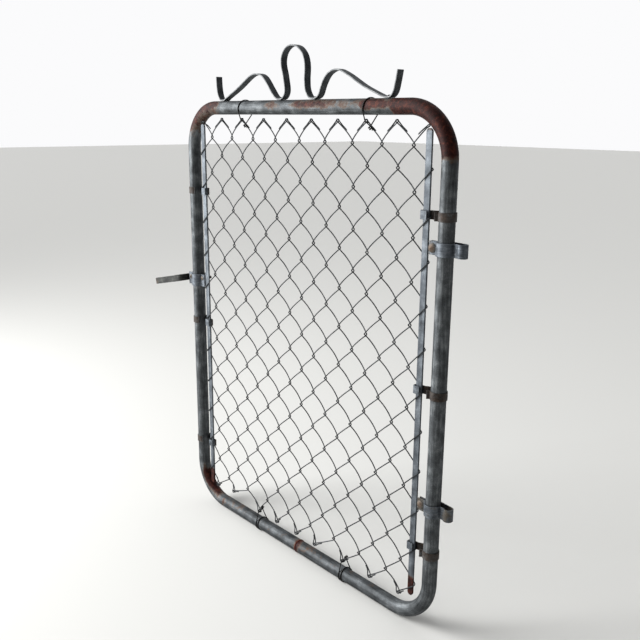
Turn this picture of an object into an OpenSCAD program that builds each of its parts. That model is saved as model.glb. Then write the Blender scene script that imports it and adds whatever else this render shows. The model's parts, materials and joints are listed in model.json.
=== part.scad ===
// Chain-link walk gate: a bent tube frame with a scroll on top, woven wire fabric on two
// tension bars, two clamped hinge straps and a drop fork latch.
// Lengths are millimetres. The origin is the middle of the lower hinge eye, X runs from the
// latch side to the hinge side, Y runs to the back of the gate and Z is up.

/* [Frame] */
// Width over the two stiles
frame_w = 950; // [900:5:1000]
// Height over the two rails
frame_h = 1204; // [1150:5:1250]
// Outside diameter of the frame tube
tube_d = 34.9; // [33:0.1:36]
// Wall of the frame tube
tube_wall = 1.65; // [1.2:0.05:2.5]
// Centre-line radius of the corner bends
bend_r = 108; // [100:1:112]
// How far the weld bead stands proud of the tube
weld_proud = 1.8; // [1:0.1:2.5]

/* [Fabric] */
// Diameter of the woven wire
wire_d = 3; // [2.5:0.1:3.2]
// Height of the upper knuckles above the frame's underside
fabric_top = 1156; // [1140:1:1158]
// Height of the lower knuckles above the frame's underside
fabric_bottom = 55.5; // [54:0.5:70]
// How far the fabric lies in front of the tube's centre
fabric_front = 4; // [3:0.5:5]
// Diameter of the tie wires
tie_d = 2.5; // [2:0.1:2.8]

/* [Tension bars] */
// Distance of each tension bar from the middle of the frame
bar_x = 406; // [402:1:407]
// Width of a tension bar
bar_w = 15.9; // [14:0.1:16]
// Thickness of a tension bar
bar_t = 4.8; // [4:0.1:5]
// Height of the bars' upper ends above the frame's underside
bar_top = 1144; // [1100:1:1145]
// Height of the left bar's lower end
left_bar_bottom = 60; // [58:1:90]
// Height of the right bar's lower end
right_bar_bottom = 74; // [58:1:90]
// Height of the clip strip
clip_h = 19; // [15:0.5:19]
// Thickness of the clip strip
clip_t = 2; // [1.5:0.1:2.2]

/* [Scroll] */
// Width of the scroll strip, front to back
scroll_w = 19; // [16:0.5:22]
// Thickness of the scroll strip
scroll_t = 3.2; // [2.5:0.1:4]
// Sideways place of the scroll's middle
scroll_x = -8; // [-12:1:12]
// Diameter of the scroll rivets
rivet_d = 4.8; // [4:0.1:6]

/* [Hinges] */
// Height of the lower hinge's middle above the frame's underside
lower_hinge_z = 316; // [310:1:320]
// Height of the upper hinge's middle above the frame's underside
upper_hinge_z = 903; // [895:1:910]
// Height of a hinge strap
strap_h = 29; // [25:0.5:30]
// Thickness of a hinge strap
strap_t = 3.2; // [2.5:0.1:3.5]
// Diameter of the hole for the post's hinge pin
eye_bore_d = 16.5; // [14:0.5:17]
// Distance from the stile's centre out to the eye's centre
eye_out = 38.3; // [37.5:0.1:39.5]
// Distance from the stile's centre back to the eye's centre
eye_back = 5.7; // [5:0.1:6.5]
// Diameter of the hinge bolts
hinge_bolt_d = 9.5; // [8:0.1:10]

/* [Latch] */
// Height of the latch collar's middle above the frame's underside
collar_z = 698; // [690:1:702]
// Height of the latch collar
collar_h = 36; // [34:1:38]
// Height of the fork's pivot
pivot_z = 702.6; // [700:0.1:704]
// How far the fork hangs below level at rest, in degrees
fork_droop = 12.7; // [10:0.1:13]
// Clear width between the fork's prongs
fork_gap = 62; // [61:1:70]
// Reach of the prongs from the pivot
fork_reach = 161; // [150:1:170]
// Height of the fork's bar
fork_h = 19; // [16:0.5:19]
// Diameter of the latch bolts
latch_bolt_d = 8; // [6:0.5:8]

/* [Hidden] */
$fn = 64;
WIRES = 18;

// Frame
tube_r = tube_d / 2;
stile_x = frame_w / 2 - tube_r;
top_z = frame_h - tube_r;
bottom_z = tube_r;
straight_x = stile_x - bend_r;
slip = 0.05;                        // space between a tube or shank and what is clamped on it
bore_r = tube_r + slip;
apart = 0.3;                        // space between pieces that only pass each other

// Fabric: each wire zigzags between two neighbouring columns of crossings
rows = 23;                          // slanting legs in one wire
column_step = bar_x / (WIRES / 2);
row_step = (fabric_top - fabric_bottom) / rows;
leg_y = wire_d / 2 + 0.4;           // a leg's centre from the fabric's middle plane
hook = 2.2;                         // how far a bend reaches past its column
rise = 2;                           // height from a bend's tip to the end of its leg
bar_leg_y = bar_t / 2 + wire_d / 2 + apart;
bar_edge = bar_x + bar_w / 2;
shoulder_x = bar_x - bar_w / 2 - wire_d;
tail = 18;                          // cut end folded back at a knuckle
corner_x = 400;                     // the end wires' upper knuckles sit inside the bends
corner_drop = 9;
clip_rise = 5;                      // clip's middle from the bend that it sits on
clip_rows = [4, 12, 20];
tie_columns = [4, 14, 5, 13];

// Scroll: centre line of the strip, sideways and above the rail
foot = scroll_t / 2 + apart;
feet = [-297, -61, 62, 296];
scroll_line = [
    [-322, 62], [-320, 34], [-314, 12], [feet[0] - 7, foot], [feet[0] + 7, foot],
    [-278, 8], [-228, 31], [-178, 58], [-148, 63], [-122, 54], [-95, 25], [-80, 9],
    [feet[1] - 6, foot], [feet[1] + 6, foot],
    [-44, 8], [-38, 24], [-44, 55], [-52, 86], [-44, 110], [-22, 123], [6, 119],
    [27, 101], [35, 76], [34, 46], [36, 24], [45, 8],
    [feet[2] - 6, foot], [feet[2] + 6, foot],
    [82, 10], [94, 34], [112, 55], [140, 63], [172, 53], [225, 26], [270, 8],
    [feet[3] - 7, foot], [feet[3] + 7, foot], [314, 12], [320, 32], [325, 56]];

// Hinges
bolt_out = 31.7;                    // bolt's axis from the stile's centre
ear_end = 41;
ear_gap = 4;
eye_r = eye_bore_d / 2 + strap_t;
eye_x = stile_x + eye_out;

// Latch
collar_t = 3;
clamp_out = 27;
clamp_z = 705;
clamp_gap = 5;
pivot_out = 30.3;
pivot_gap = 8.6;
outer_ear_end = pivot_out + 11;
inner_ear_end = 36;
fork_t = 5;
fork_bend = 16;
lug_t = 8;
base_out = 18;                      // fork's base from the pivot
heel = 7.6;                         // square heel that rests on the collar

function wire_name(i) = str("mesh_wire_", i < 9 ? "0" : "", i + 1);
function unit(v) = v / norm(v);

// Smooth curve through points: four steps of a Catmull-Rom spline between each pair
function spline_at(p, i, t) =
    let (n = len(p) - 1, a = p[max(i - 1, 0)], b = p[i], c = p[min(i + 1, n)], d = p[min(i + 2, n)])
    0.5 * (2 * b + (c - a) * t + (2 * a - 5 * b + 4 * c - d) * t * t
        + (3 * b - a - 3 * c + d) * t * t * t);
function spline(p) = concat(
    [for (i = [0 : len(p) - 2], s = [0 : 3]) spline_at(p, i, s / 4)], [p[len(p) - 1]]);

// Direction of a path at one of its points
function heading(p, i) = unit(p[min(i + 1, len(p) - 1)] - p[max(i - 1, 0)]);

// Outline of a strip of even thickness along a flat path
function strip_side(p, d) = [for (i = [0 : len(p) - 1])
    let (h = heading(p, i)) p[i] + d * [-h[1], h[0]]];
function strip_outline(p, t) =
    let (a = strip_side(p, t / 2), b = strip_side(p, -t / 2))
    concat(a, [for (i = [len(b) - 1 : -1 : 0]) b[i]]);

// Round rod swept along a path in space; each ring's first spoke is carried on without twist
function square_to(u, h) = unit(u - (u * h) * h);
module rod(path, d) {
    sides = 6;
    n = len(path);
    h = [for (i = [0 : n - 1]) heading(path, i)];
    u = [for (i = 0, s = square_to([0.3, 1, 0.2], h[0]); i < n;
        i = i + 1, s = square_to(s, h[min(i, n - 1)])) s];
    points = [for (i = [0 : n - 1], k = [0 : sides - 1])
        let (a = 360 * k / sides)
        path[i] + d / 2 * (cos(a) * u[i] + sin(a) * cross(h[i], u[i]))];
    walls = [for (i = [0 : n - 2], k = [0 : sides - 1])
        let (j = (k + 1) % sides, a = i * sides)
        each [[a + k, a + sides + k, a + j], [a + j, a + sides + k, a + sides + j]]];
    last = (n - 1) * sides;
    ends = [[for (k = [0 : sides - 1]) k], [for (k = [sides - 1 : -1 : 0]) last + k]];
    polyhedron(points, concat(walls, ends), convexity = 6);
}

// Moves the frame's own coordinates (bottom middle) to the lower hinge eye
module placed() { translate([-eye_x, -eye_back, -lower_hinge_z]) children(); }
module along_x() { rotate([0, 90, 0]) children(); }
module along_y() { rotate([-90, 0, 0]) children(); }

// ---- frame ----
module tube(length) {
    difference() {
        cylinder(h = length, r = tube_r);
        translate([0, 0, -1]) cylinder(h = length + 2, r = tube_r - tube_wall);
    }
}
module rail(from, to, z) { translate([from, 0, z]) along_x() tube(to - from); }
module stile(x) { translate([x, 0, bottom_z + bend_r]) tube(top_z - bottom_z - 2 * bend_r); }
module bend(side, z, up) {
    translate([side * straight_x, 0, z - up * bend_r])
        mirror([side < 0 ? 1 : 0, 0, 0]) mirror([0, 0, up < 0 ? 1 : 0])
            rotate([90, 0, 0]) rotate_extrude(angle = 90) translate([bend_r, 0]) difference() {
                circle(r = tube_r);
                circle(r = tube_r - tube_wall);
            }
}
module top_rail() {
    color("#7d8385") placed() difference() {
        rail(-straight_x, straight_x, top_z);
        for (f = feet) translate([scroll_x + f, 0, top_z]) cylinder(h = tube_d, r = rivet_d / 2 + slip);
    }
}
module frame_weld() {
    color("#6a4a38") placed() translate([0, 0, bottom_z]) along_x() rotate_extrude()
        intersection() {
            translate([tube_r, 0]) circle(r = weld_proud);
            translate([tube_r, -tube_r]) square([tube_r, tube_d]);
        }
}

// ---- scroll ----
module scroll_strip() {
    color("#5c5f61") placed() translate([scroll_x, 0, frame_h]) difference() {
        rotate([90, 0, 0]) linear_extrude(scroll_w, center = true)
            polygon(strip_outline([for (p = spline(scroll_line)) [p[0], max(p[1], foot)]], scroll_t));
        for (f = feet) translate([f, 0, -1]) cylinder(h = 8, r = rivet_d / 2 + slip);
    }
}
// Blind rivet: domed head over the strip, shank through the rail's wall, upset end inside
module rivet() {
    head_r = rivet_d;
    head_h = 3;
    inner = frame_h - tube_wall - 1;
    translate([0, 0, frame_h + foot + scroll_t / 2 + 0.1]) rotate_extrude() intersection() {
        translate([0, head_h - head_r * 1.6]) circle(r = head_r * 1.6);
        square([head_r, head_h]);
    }
    translate([0, 0, inner]) cylinder(h = frame_h + foot + scroll_t / 2 + 0.2 - inner, r = rivet_d / 2);
    translate([0, 0, inner - 2]) cylinder(h = 2, r = rivet_d * 0.7);
}
module scroll_rivets() {
    color("#2e2f31") placed() for (f = feet) translate([scroll_x + f, 0, 0]) rivet();
}

// ---- tension bars and their clips ----
module tension_bar(side, from) {
    r = bar_w / 2;
    arc = [for (a = [0 : 15 : 180]) r * [cos(a), sin(a)]];
    outline = concat([for (p = arc) p + [0, bar_top - r]], [for (p = arc) [0, from + r] - p]);
    translate([side * bar_x, -fabric_front, 0]) rotate([90, 0, 0])
        linear_extrude(bar_t, center = true) polygon(outline);
}
// One strip: hooked over the bar from the front, led behind it to the stile's back, round the
// outside of the stile and over its front, with a lip left standing at the end
module clip(side, row) {
    middle = fabric_top - row * row_step + side * clip_rise;
    x0 = bar_x - stile_x - bar_w / 2 - 2 - clip_t;
    front = -fabric_front - bar_leg_y - wire_d / 2 - 0.4;
    back = -fabric_front + bar_leg_y + wire_d / 2 + 0.4;
    link_x = bar_x - stile_x + bar_w / 2 + 2;
    joint = [-3, tube_r + clip_t / 2 + 0.3];
    lip = 222;
    translate([side * stile_x, 0, middle - clip_h / 2]) mirror([side < 0 ? 1 : 0, 0, 0])
        linear_extrude(clip_h) difference() {
            union() {
                translate([x0, front - clip_t]) square([bar_w + 2 + clip_t, clip_t]);
                translate([x0, front - clip_t]) square([clip_t, back - front + 2 * clip_t]);
                translate([x0, back]) square([link_x - x0, clip_t]);
                polygon([[link_x - 1, back], [link_x, back + clip_t], joint + [0, 0.6], joint - [0, 1.2]]);
                difference() {
                    circle(r = bore_r + clip_t);
                    polygon([for (a = [-1, 105, 165, lip]) a < 0 ? [0, 0] : 60 * [cos(a), sin(a)]]);
                }
                rotate(lip) translate([tube_r, -clip_t / 2]) square([8, clip_t]);
            }
            circle(r = bore_r);
        }
}

// ---- hinges ----
module strap(z) {
    placed() translate([stile_x, 0, z]) difference() {
        translate([0, 0, -strap_h / 2]) linear_extrude(strap_h) difference() {
            union() {
                circle(r = bore_r + strap_t);
                for (s = [-1, 1]) translate([-ear_end, s * (ear_gap + strap_t) / 2 - strap_t / 2])
                    square([ear_end - tube_r / 2, strap_t]);
                translate([tube_r, -2]) square([eye_out - tube_r - eye_r + 2, strap_t]);
                polygon([[3, tube_r + strap_t - 0.2], [eye_out, eye_back + eye_r],
                    [eye_out - 1, eye_back + eye_r - strap_t], [12, 15.5]]);
                translate([eye_out, eye_back]) circle(r = eye_r);
            }
            circle(r = bore_r);
            translate([eye_out, eye_back]) circle(r = eye_bore_d / 2);
            translate([-tube_r - strap_t - 2, -ear_gap / 2]) square([tube_r, ear_gap]);
        }
        translate([-bolt_out, -ear_end, 0]) along_y() cylinder(h = 2 * ear_end, r = hinge_bolt_d / 2 + slip);
    }
}
// Carriage bolt along +Y: domed head in front of the y = 0 plane, plain shank behind it
module carriage_bolt(d, head_r, head_h, length) {
    ball = (head_r * head_r + head_h * head_h) / (2 * head_h);
    rotate([90, 0, 0]) rotate_extrude() intersection() {
        translate([0, head_h - ball]) circle(r = ball);
        square([head_r, head_h]);
    }
    along_y() cylinder(h = length, r = d / 2);
}
module hex_nut(d, flats, height) {
    along_y() difference() {
        cylinder(h = height, r = flats / sqrt(3), $fn = 6);
        translate([0, 0, -1]) cylinder(h = height + 2, r = d / 2 + slip);
    }
}
module hinge_bolt(z) {
    placed() translate([stile_x - bolt_out, -ear_gap / 2 - strap_t, z])
        carriage_bolt(hinge_bolt_d, 10.5, 5, ear_gap + 2 * strap_t + 14);
}
module hinge_nut(z) {
    placed() translate([stile_x - bolt_out, ear_gap / 2 + strap_t, z]) hex_nut(hinge_bolt_d, 14.3, 8);
}

// ---- latch ----
// Half of the clamped collar: a band round the stile with a flat ear on each side
module collar(side) {
    placed() translate([-stile_x, 0, 0]) mirror([0, side < 0 ? 1 : 0, 0]) difference() {
        translate([0, 0, collar_z - collar_h / 2]) linear_extrude(collar_h) difference() {
            union() {
                intersection() {
                    circle(r = bore_r + collar_t);
                    translate([-tube_d, clamp_gap / 2]) square([2 * tube_d, tube_d]);
                }
                translate([tube_r / 2, clamp_gap / 2]) square([inner_ear_end - tube_r / 2, collar_t]);
                translate([-outer_ear_end, pivot_gap / 2]) square([outer_ear_end - tube_r / 2, collar_t]);
            }
            circle(r = bore_r);
        }
        for (p = [[clamp_out, clamp_z], [-pivot_out, pivot_z]]) translate([p[0], 0, p[1]])
            along_y() cylinder(h = tube_d, r = latch_bolt_d / 2 + slip);
    }
}
module latch_bolt(x, z, gap, length) {
    placed() translate([x - stile_x, -gap / 2 - collar_t, z])
        carriage_bolt(latch_bolt_d, 6.4, 3.6, gap / 2 + collar_t + length);
}
module latch_nut(x, z, gap) {
    placed() translate([x - stile_x, gap / 2 + collar_t, z]) hex_nut(latch_bolt_d, 12.7, 6.5);
}
// Plan of the fork: a flat bar bent on edge into a U that opens away from the gate
module fork_plan() {
    half = fork_gap / 2 + fork_t;
    inner_bend = fork_bend - fork_t;
    difference() {
        union() {
            translate([-fork_reach, -half]) square([fork_reach - base_out - fork_bend, 2 * half]);
            translate([-fork_reach, fork_bend - half]) square([fork_reach - base_out, 2 * (half - fork_bend)]);
            for (s = [-1, 1]) translate([-base_out - fork_bend, s * (half - fork_bend)]) circle(r = fork_bend);
        }
        translate([-fork_reach - 1, -fork_gap / 2])
            square([fork_reach + 1 - base_out - fork_bend, fork_gap]);
        translate([-fork_reach - 1, fork_bend - half])
            square([fork_reach + 1 - base_out - fork_t, 2 * (half - fork_bend)]);
        for (s = [-1, 1]) translate([-base_out - fork_bend, s * (half - fork_bend)]) circle(r = inner_bend);
    }
}
// Lug between the collar's ears: round on top so that it turns freely, square below so that
// it comes to rest on the collar
module fork_lug() {
    difference() {
        rotate([90, 0, 0]) linear_extrude(lug_t, center = true) union() {
            circle(r = fork_h / 2 - apart);
            translate([-base_out - 1, -fork_h / 2]) square([base_out + 1, fork_h]);
            translate([-1, -fork_h / 2]) square([heel + 1, fork_h / 2]);
        }
        translate([0, -lug_t, 0]) along_y() cylinder(h = 2 * lug_t, r = latch_bolt_d / 2 + slip);
    }
}
module latch_fork() {
    color("#4c4d4b") placed() translate([-stile_x - pivot_out, 0, pivot_z]) rotate([0, -fork_droop, 0]) {
        translate([0, 0, -fork_h / 2]) linear_extrude(fork_h) fork_plan();
        fork_lug();
    }
}

// ---- woven wire ----
function column_x(j) = (j - WIRES / 2) * column_step;
function node_column(i, k) = (i + k) % 2 == 0 ? i : i + 1;
function outward(i, k) = node_column(i, k) == i ? -1 : 1;
function at_bar(i, k) = node_column(i, k) == 0 || node_column(i, k) == WIRES;
function corner(i, k) = k == 0 && at_bar(i, k);
function node_x(i, k) = corner(i, k) ? outward(i, k) * corner_x : column_x(node_column(i, k));
function node_z(i, k) = fabric_top - k * row_step - (corner(i, k) ? corner_drop : 0);

// A bend round the neighbouring wire: in at one face of the fabric and out at the other
function plain_bend(x, z, o, y) = [[x, o * y, z + rise], [x + o * hook, 0, z], [x, -o * y, z - rise]];
// A bend round the tension bar, with a shoulder where each leg clears the bar's edge
function bar_bend(z, o) =
    let (slope = (row_step - 2 * rise) / (bar_edge + 0.5 - bar_x + column_step),
        run = bar_edge + 0.5 - shoulder_x, past = bar_edge + wire_d / 2 + 1.2)
    [[o * shoulder_x, o * bar_leg_y, z + rise + run * slope], [o * (bar_edge + 0.5), o * bar_leg_y, z + rise],
        [o * past, o * 2.6, z + rise / 3], [o * past, -o * 2.6, z - rise / 3],
        [o * (bar_edge + 0.5), -o * bar_leg_y, z - rise],
        [o * shoulder_x, -o * bar_leg_y, z - rise - run * slope]];
// Cut end folded over and back along its own leg; up is 1 above the fabric and -1 below it
function knuckle(x, z, o, y, up) = [
    [x - o * (7 + tail * 0.69), up * o * y, z - up * (0.5 + tail * 0.73)],
    [x - o * 7, up * o * y, z - up * 0.5], [x - o * 2.5, up * o * y, z + up * 3.5]];
function reversed(p) = [for (i = [len(p) - 1 : -1 : 0]) p[i]];
function wire_node(i, k) =
    let (x = node_x(i, k), z = node_z(i, k), o = outward(i, k), y = corner(i, k) ? bar_leg_y : leg_y)
    at_bar(i, k) && !corner(i, k) ? bar_bend(z, o)
    : k == 0 ? concat(knuckle(x, z, o, y, 1), plain_bend(x, z, o, y))
    : k == rows ? concat(plain_bend(x, z, o, y), reversed(knuckle(x, z, o, y, -1)))
    : plain_bend(x, z, o, y);
module mesh_wire(i) {
    color("#6b6d6e") placed() translate([0, -fabric_front, 0])
        rod([for (k = [0 : rows]) each wire_node(i, k)], wire_d);
}
// Tie hooked over a rail, one end in front of a knuckle and the other behind it
module tie(j, rail_z, knuckle_z) {
    up = rail_z > knuckle_z ? 1 : -1;
    turn = 25;
    r = (tube_r + tie_d / 2 + 2 * slip) / cos(turn / 2);
    arc = [for (a = [-55 : turn : 245]) [4 * (245 - a) / 300, -r * cos(a), rail_z + up * r * sin(a)]];
    color("#3a3b3c") placed() translate([column_x(j), 0, 0]) rod(concat(
        [[4, -fabric_front - leg_y - wire_d / 2 - tie_d / 2 - apart - 0.6, knuckle_z - up * 6]], arc,
        [[-4, -fabric_front + leg_y + wire_d / 2 + tie_d / 2 + apart + 0.6, knuckle_z - up * 10]]), tie_d);
}

top_rail();
color("#6f7577") placed() stile(-stile_x);  // left_stile
color("#6f7577") placed() stile(stile_x);  // right_stile
color("#7b7a6e") placed() rail(-straight_x, 0, bottom_z);  // bottom_rail_left
color("#7b7a6e") placed() rail(0, straight_x, bottom_z);  // bottom_rail_right
color("#6e5a4c") placed() bend(-1, top_z, 1);  // corner_top_left
color("#6b3526") placed() bend(1, top_z, 1);  // corner_top_right
color("#5f5a50") placed() bend(-1, bottom_z, -1);  // corner_bottom_left
color("#7b7a6e") placed() bend(1, bottom_z, -1);  // corner_bottom_right
frame_weld();
scroll_strip();
scroll_rivets();
color("#8b8e90") placed() tension_bar(-1, left_bar_bottom);  // tension_bar_left
color("#8b8e90") placed() tension_bar(1, right_bar_bottom);  // tension_bar_right
color("#75797b") placed() clip(-1, clip_rows[0]);  // left_clip_top
color("#75797b") placed() clip(-1, clip_rows[1]);  // left_clip_middle
color("#75797b") placed() clip(-1, clip_rows[2]);  // left_clip_bottom
color("#75797b") placed() clip(1, clip_rows[0]);  // right_clip_top
color("#75797b") placed() clip(1, clip_rows[1]);  // right_clip_middle
color("#75797b") placed() clip(1, clip_rows[2]);  // right_clip_bottom
color("#7a7f83") strap(upper_hinge_z);  // upper_hinge_strap
color("#6d5646") hinge_bolt(upper_hinge_z);  // upper_hinge_bolt
color("#6d5646") hinge_nut(upper_hinge_z);  // upper_hinge_nut
color("#7a7f83") strap(lower_hinge_z);  // lower_hinge_strap
color("#6d5646") hinge_bolt(lower_hinge_z);  // lower_hinge_bolt
color("#6d5646") hinge_nut(lower_hinge_z);  // lower_hinge_nut
color("#7c8083") collar(-1);  // latch_collar_front
color("#7c8083") collar(1);  // latch_collar_rear
color("#9a9a98") latch_bolt(clamp_out, clamp_z, clamp_gap, 25);  // latch_clamp_bolt
color("#9a9a98") latch_nut(clamp_out, clamp_z, clamp_gap);  // latch_clamp_nut
color("#8c8479") latch_bolt(-pivot_out, pivot_z, pivot_gap, 17);  // latch_pivot_bolt
color("#8c8479") latch_nut(-pivot_out, pivot_z, pivot_gap);  // latch_pivot_nut
latch_fork();
tie(tie_columns[0], top_z, fabric_top);  // tie_top_left
tie(tie_columns[1], top_z, fabric_top);  // tie_top_right
tie(tie_columns[2], bottom_z, fabric_bottom);  // tie_bottom_left
tie(tie_columns[3], bottom_z, fabric_bottom);  // tie_bottom_right
for (i = [0 : WIRES - 1]) mesh_wire(i);
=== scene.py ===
"""Chain-link walk gate: weathered zinc tube frame, scroll, woven fabric, strap hinges, fork latch.

Gate measures are millimetres from the frame's own middle: X from the middle of the frame towards
the hinges, Y from the tube's centre towards the back, Z up from the frame's underside.
"""

import json
import math

import bpy
import numpy as np
from mathutils import Matrix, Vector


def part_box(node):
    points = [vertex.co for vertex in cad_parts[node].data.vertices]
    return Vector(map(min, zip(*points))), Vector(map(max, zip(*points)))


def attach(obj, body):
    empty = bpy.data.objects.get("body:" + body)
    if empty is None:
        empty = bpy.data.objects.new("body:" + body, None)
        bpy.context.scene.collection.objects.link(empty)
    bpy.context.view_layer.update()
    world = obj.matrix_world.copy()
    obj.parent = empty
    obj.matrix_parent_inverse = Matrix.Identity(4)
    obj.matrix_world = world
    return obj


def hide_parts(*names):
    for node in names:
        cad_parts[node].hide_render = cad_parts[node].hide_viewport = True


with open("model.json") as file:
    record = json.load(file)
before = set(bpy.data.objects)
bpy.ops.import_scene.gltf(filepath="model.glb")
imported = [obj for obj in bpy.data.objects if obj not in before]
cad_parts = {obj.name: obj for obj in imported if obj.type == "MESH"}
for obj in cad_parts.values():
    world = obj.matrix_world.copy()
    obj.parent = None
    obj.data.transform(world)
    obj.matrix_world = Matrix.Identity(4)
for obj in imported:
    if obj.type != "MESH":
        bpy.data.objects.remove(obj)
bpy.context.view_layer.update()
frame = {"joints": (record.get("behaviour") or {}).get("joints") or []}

LEAF = "gate_leaf"
FORK = "fork"


# ---- measures taken from the CAD nodes ----


def corners(name):
    """A CAD node's lowest and highest corners in millimetres."""
    return np.array(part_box(name)) * 1000


def middle(name):
    """The middle of a CAD node's box, in gate measures."""
    return corners(name).mean(axis=0) - ORIGIN


LEFT = corners("left_stile")
RIGHT = corners("right_stile")
ORIGIN = np.array([(LEFT[0][0] + RIGHT[1][0]) / 2, LEFT[:, 1].mean(), corners("bottom_rail_left")[0][2]])
TUBE_R = (LEFT[1][0] - LEFT[0][0]) / 2
STILE_X = middle("right_stile")[0]
TOP_Z = middle("top_rail")[2]
RAIL_TOP = TOP_Z + TUBE_R
BOTTOM_Z = TUBE_R
STRAIGHT_X = corners("top_rail")[1][0] - ORIGIN[0]
BEND_R = STILE_X - STRAIGHT_X
BAR_X = middle("tension_bar_right")[0]
BAR_SIZE = np.ptp(corners("tension_bar_right"), axis=0)
FABRIC_Y = middle("tension_bar_right")[1]
# The gap between the tube and what wraps round it
SPACE = 0.05
WRAP_R = TUBE_R + SPACE
MID_HEIGHT = (TOP_Z + BOTTOM_Z) / 2


# ---- mesh tools ----


def unit(v):
    """Each vector divided by its own length."""
    return v / np.linalg.norm(v, axis=-1, keepdims=True)


def put(name, points, faces, uv, body, material, marks=None):
    """Makes a piece from points in gate measures, faces, and a (u, v) in metres for each face corner.

    The faces are turned outwards if the volume they enclose, the sum of the signed tetrahedra on the
    origin, comes out negative. marks are numbers for each point, by name, that the materials read.
    """
    points = np.asarray(points, float).reshape(-1, 3)
    fans = [(f[0], f[i], f[i + 1]) for f in faces for i in range(1, len(f) - 1)]
    a, b, c = (points[np.array(fans)[:, i]] for i in range(3))
    inside_out = np.einsum("ij,ij->i", a, np.cross(b, c)).sum() < 0
    mesh = bpy.data.meshes.new(name)
    mesh.from_pydata(((points + ORIGIN) / 1000).tolist(), [], [tuple(f) for f in faces])
    mesh.uv_layers.new(name="UVMap").data.foreach_set("uv", np.asarray(uv, np.float32).ravel())
    for key, values in (marks or {}).items():
        mesh.attributes.new(key, "FLOAT", "POINT").data.foreach_set(
            "value", np.asarray(values, np.float32).ravel()
        )
    if inside_out:
        mesh.flip_normals()
    mesh.shade_smooth()
    piece = bpy.data.objects.new(name, mesh)
    bpy.context.scene.collection.objects.link(piece)
    mesh.materials.append(material)
    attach(piece, body)
    return piece


def grid(points, u, v, around=True, along=False):
    """Faces and (u, v) of a grid of rows x columns points: one quad between neighbours.

    around joins the last column to the first, along the last row to the first. An open row of a
    closed ring is shut by one face with as many corners as the ring.
    """
    rows, columns = points.shape[:2]
    r, c = np.arange(rows if along else rows - 1), np.arange(columns if around else columns - 1)
    r, c = np.meshgrid(r, c, indexing="ij")
    r2, c2 = (r + 1) % rows, (c + 1) % columns
    quads = np.stack([r * columns + c, r * columns + c2, r2 * columns + c2, r2 * columns + c], -1)
    uu = np.stack([u[r], u[r], u[r + 1], u[r + 1]], -1)
    vv = np.stack([v[c], v[c + 1], v[c + 1], v[c]], -1)
    faces = quads.reshape(-1, 4).tolist()
    uv = np.stack([uu, vv], -1).reshape(-1, 2)
    if around and not along:
        last = (rows - 1) * columns
        faces += [list(range(columns))[::-1], list(range(last, last + columns))]
        ring = np.full((columns, 2), [u[0], 0.0])
        uv = np.concatenate([uv, ring, ring + [u[rows - 1] - u[0], 0]])
    return faces, uv / 1000


def length_along(path, closed=False):
    """Distance along a path at each point, with the whole length last if the path is closed."""
    steps = np.diff(np.concatenate([path, path[:1]]) if closed else path, axis=0)
    return np.concatenate([[0], np.cumsum(np.linalg.norm(steps, axis=1))])


def resampled(path, at):
    """A path's points at the given distances along it, on the straight lines between its points."""
    run = length_along(path)
    return np.stack([np.interp(at, run, path[:, i]) for i in range(path.shape[1])], 1)


def spline(points, steps):
    """Catmull-Rom curve: each stretch is the cubic that has the two neighbours' slope at its ends."""
    p = np.concatenate([2 * points[:1] - points[1:2], points, 2 * points[-1:] - points[-2:-1]])
    a, b, c, d = (p[i : len(p) - 3 + i, None] for i in range(4))
    t = (np.arange(steps) / steps)[None, :, None]
    cubic = 2 * b + (c - a) * t + (2 * a - 5 * b + 4 * c - d) * t**2 + (3 * b - a - 3 * c + d) * t**3
    return np.concatenate([cubic.reshape(-1, points.shape[1]) / 2, points[-1:]])


def arc(centre, radius, start, end, count):
    """Points on a circle from one angle to another, in degrees."""
    turn = np.radians(np.linspace(start, end, count))
    return np.array(centre) + radius * np.stack([np.cos(turn), np.sin(turn)], 1)


def rounded(points, radii, count=7):
    """A polyline with its corners rounded: each becomes an arc tangent to both its sides."""
    points = np.array(points, float)
    out = [points[:1]]
    for before, corner, after, radius in zip(points, points[1:], points[2:], radii):
        to_a, to_b = unit(before - corner), unit(after - corner)
        half = np.arccos(np.clip(to_a @ to_b, -1, 1)) / 2
        centre = corner + unit(to_a + to_b) * radius / np.sin(half)
        swing = np.pi - 2 * half
        start = corner + to_a * radius / np.tan(half) - centre
        end = corner + to_b * radius / np.tan(half) - centre
        s = np.linspace(0, 1, count)[:, None]
        out.append(centre + (np.sin((1 - s) * swing) * start + np.sin(s * swing) * end) / np.sin(swing))
    return np.concatenate(out + [points[-1:]])


def carried(path, across, closed=False):
    """Two directions square to a path at each point: one leans towards across, the other is its side."""
    steps = unit(np.diff(np.concatenate([path[-1:], path, path[:1]]) if closed else path, axis=0))
    if closed:
        ahead = unit(steps[:-1] + steps[1:])
    else:
        ahead = unit(np.concatenate([steps[:1], steps[:-1] + steps[1:], steps[-1:]]))
    across = np.broadcast_to(across, ahead.shape)
    lift = unit(across - np.einsum("ij,ij->i", across, ahead)[:, None] * ahead)
    return np.cross(lift, ahead), lift


def corner_turns():
    """Angles round a rounded rectangle: four for every corner's quarter circle in turn."""
    return np.radians(90 * np.repeat(np.arange(4), 4) + np.tile(np.linspace(0, 90, 4), 4))


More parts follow.
